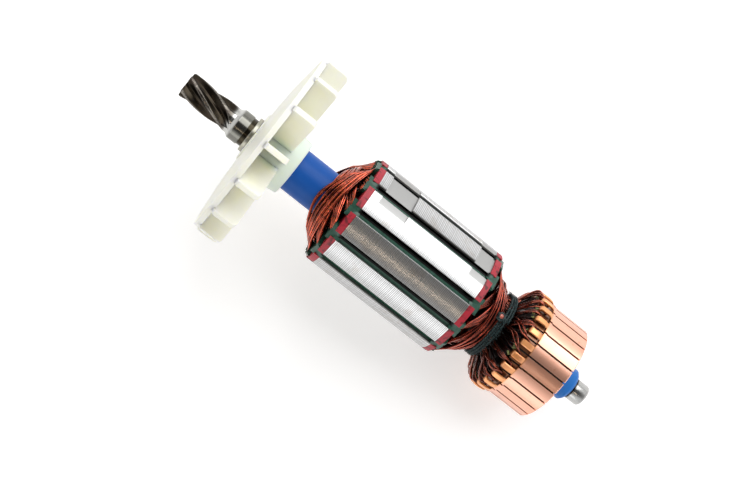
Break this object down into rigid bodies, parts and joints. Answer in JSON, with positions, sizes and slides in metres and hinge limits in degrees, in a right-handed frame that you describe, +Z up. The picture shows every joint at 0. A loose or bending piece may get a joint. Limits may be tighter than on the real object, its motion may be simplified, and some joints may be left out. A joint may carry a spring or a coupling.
{
  "type": "motor armature",
  "caption": "Wound armature of a small universal motor: shaft with a helical pinion, moulded cooling fan, slotted laminated core with lacquered coils, and a commutator with hooked risers.",
  "frame": {"origin": "on the table, under the middle of the whole length and width", "axes": "+X along the length from the pinion towards the commutator, +Z up; the shaft slopes down towards the commutator because the armature lies on two fan blades and the commutator's outer edge"},
  "size_m": [0.1526, 0.0638, 0.0637],
  "materials": {
    "ground_steel": "ground bearing seats, dark oiled pinion",
    "ring_steel": "turned",
    "fan_nylon": "satin moulded nylon, slightly translucent",
    "blue_sleeve": "smooth blue insulation",
    "laminations": "stacked sheet edges, ground across the teeth",
    "red_fibre": "pressed red fibre",
    "green_paper": "folded slot insulation",
    "coil_wire": "enamelled copper wire under glossy varnish",
    "lead_wire": "enamelled copper wire under glossy varnish",
    "tie_cord": "varnished twisted cord",
    "moulded_hub": "moulded phenolic",
    "bar_copper": "turned copper brush track"
  },
  "bodies": {
    "root": {"shaft": "ground_steel", "spacer_ring": "ring_steel", "fan": "fan_nylon", "insulating_sleeve": "blue_sleeve", "core_stack": "laminations", "fibre_plate_drive": "red_fibre", "fibre_plate_commutator": "red_fibre", "slot_liners": "green_paper", "coil_01": "coil_wire", "coil_02": "coil_wire", "coil_03": "coil_wire", "coil_04": "coil_wire", "coil_05": "coil_wire", "coil_06": "coil_wire", "coil_07": "coil_wire", "coil_08": "coil_wire", "coil_09": "coil_wire", "coil_10": "coil_wire", "coil_11": "coil_wire", "coil_12": "coil_wire", "commutator_leads": "lead_wire", "tie_cord": "tie_cord", "commutator_hub": "moulded_hub", "bar_01": "bar_copper", "bar_02": "bar_copper", "bar_03": "bar_copper", "bar_04": "bar_copper", "bar_05": "bar_copper", "bar_06": "bar_copper", "bar_07": "bar_copper", "bar_08": "bar_copper", "bar_09": "bar_copper", "bar_10": "bar_copper", "bar_11": "bar_copper", "bar_12": "bar_copper", "bar_13": "bar_copper", "bar_14": "bar_copper", "bar_15": "bar_copper", "bar_16": "bar_copper", "bar_17": "bar_copper", "bar_18": "bar_copper", "bar_19": "bar_copper", "bar_20": "bar_copper", "bar_21": "bar_copper", "bar_22": "bar_copper", "bar_23": "bar_copper", "bar_24": "bar_copper"}
  },
  "joints": []
}
